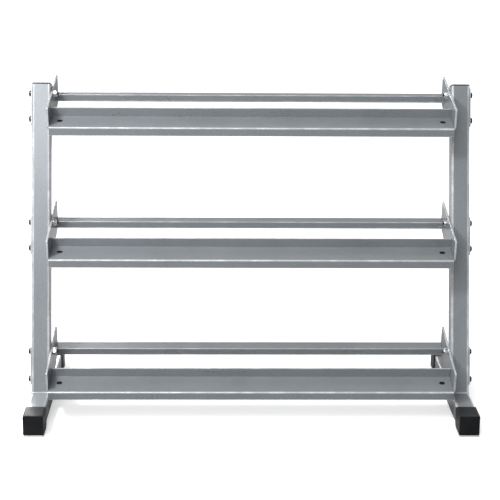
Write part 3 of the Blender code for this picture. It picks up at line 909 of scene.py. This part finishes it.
fasteners = [(side, tier, place) for side in SIDES for tier in TIERS for place in BOLT_PLACES]

for number, (side, tier, place) in enumerate(fasteners, 1):
    node = side + "_" + tier + "_" + place + "_bolt"
    low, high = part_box(node)
    length = high.x - low.x
    twist = BOLT_TWIST * number
    angle = np.linspace(0, math.tau, BOLT_POINTS, endpoint=False) + twist
    socket = hexagon(angle - 2 * twist, SOCKET)
    seat = HEAD + FLANGE
    profile = [
        (SOCKET_DEPTH, socket * 0.02, -1.0),
        (SOCKET_DEPTH, socket * 0.97, -1.0),
        (SOCKET_EDGE, socket, 0.3),
        (0.0, socket + SOCKET_EDGE, 0.8),
    ]
    # The head's round side is a quarter of an ellipse
    profile += [
        (HEAD * (1 - math.sin(t)) + 0.00001, HEAD_RADIUS * (HEAD_FLAT + (1 - HEAD_FLAT) * math.cos(t)), 0.4)
        for t in np.linspace(math.pi / 2, 0, 9)
    ]
    profile += [
        (HEAD + 0.0002, FLANGE_RADIUS - 0.0006, 0.0),
        (HEAD + 0.0006, FLANGE_RADIUS - 0.0001, 0.8),
        (HEAD + 0.0010, FLANGE_RADIUS, 0.8),
        (seat, FLANGE_RADIUS, 0.4),
        (seat, BOLT_RADIUS, 0.0),
    ]
    # The thread is a ridge that climbs one pitch to each turn
    along = np.linspace(length - THREAD_LENGTH, length - BOLT_TIP, THREAD_RINGS)
    fade = np.clip((along[-1] - along) / THREAD_FADE, 0.25, 1)
    ridge = np.abs(((along[:, None] / THREAD_PITCH - angle / math.tau) % 1) * 2 - 1) * fade[:, None]
    profile.append((along[0] - 0.001, BOLT_RADIUS, 0.0))
    profile += [(x, BOLT_RADIUS - THREAD_DEPTH * (1 - share), 0.0) for x, share in zip(along, ridge)]
    profile += [(length, BOLT_RADIUS * 0.72, 0.0), (length, BOLT_RADIUS * 0.02, 0.0)]
    rings, edges = fastener_rings(node, side, profile, angle)
    fit(node + "_screw", skin(node, rings, edges), bolt_steel, node)


# Nuts
# Each bolt takes a flanged lock nut on the inside of the tier: a hexagon with chamfered corners,
# and a round crown that holds a nylon ring. They are bright zinc.

NUT_ACROSS = 0.017
NUT_HEIGHT = 0.010
NUT_POINTS = 72
NUT_TWIST = 0.21  # turn from one nut to the next
NUT_FLANGE = 0.0015
NUT_FLANGE_RADIUS = 0.0100
NUT_CONE = NUT_ACROSS / 2 * 1.02  # radius, at the shoulder, of the cone that cuts the corners off
NUT_CONE_SLOPE = 0.9
NUT_CROWN = 0.0028
NUT_CROWN_RADIUS = NUT_ACROSS / 2 * 0.92
NUT_CROWN_ROUND = 0.0014
BORE = 0.00525

nut_zinc = zinc_plate("Bright zinc plate", (0.78, 0.79, 0.80, 1), (0.60, 0.61, 0.63, 1), 0.20)

for number, (side, tier, place) in enumerate(fasteners, len(fasteners) + 1):
    node = side + "_" + tier + "_" + place + "_nut"
    angle = np.linspace(0, math.tau, NUT_POINTS, endpoint=False)
    flats = hexagon(angle - NUT_TWIST * number, NUT_ACROSS)
    crest = NUT_FLANGE + NUT_HEIGHT
    shoulder = crest - NUT_CROWN
    profile = [
        (0.0, BORE, 0.0),
        (0.0, NUT_FLANGE_RADIUS - 0.0003, 0.0),
        (0.0003, NUT_FLANGE_RADIUS, 0.6),
        (NUT_FLANGE - 0.0006, NUT_FLANGE_RADIUS, 0.6),
        (NUT_FLANGE - 0.0001, NUT_FLANGE_RADIUS - 0.0004, 0.6),
    ]
    # The flats rise from the flange to where the cone cuts their corners off
    for rise in np.linspace(0, 1, 8):
        x = NUT_FLANGE + (shoulder - NUT_FLANGE) * rise
        cone = NUT_CONE + (shoulder - x) * NUT_CONE_SLOPE
        flare = NUT_FLANGE_RADIUS - 0.0005 + 0.001 * rise
        profile.append((x, np.minimum(np.minimum(flats, cone), flare), 0.4 * (rise > 0.9)))
    profile += [
        (
            shoulder + 0.0001 + (NUT_CROWN - 0.0001) * math.sin(t),
            NUT_CROWN_RADIUS - NUT_CROWN_ROUND * (1 - math.cos(t)),
            0.3,
        )
        for t in np.linspace(0, math.pi / 2, 7)
    ]
    profile += [
        (crest, BORE + 0.0006, 0.5),
        (crest - 0.0006, BORE + 0.0002, -0.5),
        (crest - 0.0010, BORE, -1.0),
    ]
    rings, edges = fastener_rings(node, side, profile, angle)
    fit(node + "_locknut", skin(node, rings, edges, True), nut_zinc, node)


# Studio
# The rack stands on a plain pale floor that runs out of sight, in soft white air. A wide sun comes
# from the upper left in front. A small strong lamp hangs at the upper left, a broad one stands far
# in front and a low one behind.

FLOOR_SEEN = (0.92, 0.92, 0.92, 1)
FLOOR_BOUNCE = (0.42, 0.42, 0.42, 1)
FLOOR_GLOW = 0.45
FLOOR_SIDES, FLOOR_NEAR, FLOOR_FAR = 30, -12, 45
AIR_LIGHT = 0.55
AIR_SEEN = 0.5  # added where the camera sees the air itself

floor_corners = [
    (-FLOOR_SIDES, FLOOR_NEAR, 0),
    (FLOOR_SIDES, FLOOR_NEAR, 0),
    (FLOOR_SIDES, FLOOR_FAR, 0),
    (-FLOOR_SIDES, FLOOR_FAR, 0),
]
floor_mesh = bpy.data.meshes.new("studio_floor")
floor_mesh.from_pydata(floor_corners, [], [(0, 1, 2, 3)])
studio_floor = bpy.data.objects.new("studio_floor", floor_mesh)
bpy.context.scene.collection.objects.link(studio_floor)
floor_paint, floor_tree, floor_shader = new_material("Pale floor")
floor_shader.inputs["Roughness"].default_value = 0.9
floor_shader.inputs["Specular IOR Level"].default_value = 0.0
floor_shader.inputs["Emission Color"].default_value = (1.0, 1.0, 1.0, 1)
# The floor looks white to the camera and throws less light back up at the rack
seen = add(floor_tree, "ShaderNodeLightPath").outputs["Is Camera Ray"]
feed(floor_tree, floor_shader.inputs["Base Color"], mixed(floor_tree, seen, FLOOR_BOUNCE, FLOOR_SEEN))
feed(floor_tree, floor_shader.inputs["Emission Strength"], maths(floor_tree, "MULTIPLY", seen, FLOOR_GLOW))
floor_mesh.materials.append(floor_paint)

world = bpy.data.worlds.new("Studio air")
bpy.context.scene.world = world
world.use_nodes = True
air = world.node_tree.nodes["Background"]
air.inputs["Color"].default_value = (1.0, 1.0, 1.0, 1)
# The air is as white as the floor where the camera sees past it
beyond = add(world.node_tree, "ShaderNodeLightPath").outputs["Is Camera Ray"]
air_strength = maths(world.node_tree, "MULTIPLY_ADD", beyond, AIR_SEEN, AIR_LIGHT)
feed(world.node_tree, air.inputs["Strength"], air_strength)

sun = bpy.data.lights.new("sky_panel", "SUN")
sun.energy = 1.6
sun.angle = math.radians(35)
sky_panel = bpy.data.objects.new("sky_panel", sun)
bpy.context.scene.collection.objects.link(sky_panel)
sky_panel.rotation_euler = Vector((0.35, 0.75, -1.0)).to_track_quat("-Z", "Y").to_euler()


def soft_light(name, location, target, width, height, power):
    """A rectangular lamp that faces a target point and that the camera doesn't see."""
    lamp = bpy.data.lights.new(name, "AREA")
    lamp.shape = "RECTANGLE"
    lamp.size, lamp.size_y = width, height
    lamp.energy = power
    made = bpy.data.objects.new(name, lamp)
    bpy.context.scene.collection.objects.link(made)
    made.location = location
    made.visible_camera = False
    made.rotation_euler = (Vector(target) - Vector(location)).to_track_quat("-Z", "Y").to_euler()


soft_light("upper_left", (-1.45, -1.35, 2.25), (-0.35, 0.0, 0.6), 0.42, 0.42, 66)
soft_light("front", (-1.15, -4.9, 2.75), (-0.3, 0.0, 0.6), 1.9, 1.1, 31)
soft_light("rear", (-1.3, 3.4, 1.35), (-0.4, 0.0, 0.1), 1.5, 0.9, 52)

CAMERA_PLACE = (-0.0844, -3.9838, 1.5165)
CAMERA_DOWN = math.radians(15.19)
CAMERA_YAW = math.radians(1.17)
CAMERA_ROLL = math.radians(0.44)

lens = bpy.data.cameras.new("studio_camera")
lens.lens = 108.4
lens.sensor_width = 36.0
camera = bpy.data.objects.new("studio_camera", lens)
bpy.context.scene.collection.objects.link(camera)
forward = np.array(
    [
        math.sin(CAMERA_YAW) * math.cos(CAMERA_DOWN),
        math.cos(CAMERA_YAW) * math.cos(CAMERA_DOWN),
        -math.sin(CAMERA_DOWN),
    ]
)
level = unit(np.cross(forward, (0, 0, 1)))
above = np.cross(level, forward)
camera_x = level * math.cos(CAMERA_ROLL) + above * math.sin(CAMERA_ROLL)
camera_y = above * math.cos(CAMERA_ROLL) - level * math.sin(CAMERA_ROLL)
placing = np.eye(4)
placing[:3] = np.stack([camera_x, camera_y, -forward, CAMERA_PLACE], -1)
camera.matrix_world = Matrix(placing.tolist())
bpy.context.scene.camera = camera
bpy.context.scene.view_settings.view_transform = "Standard"
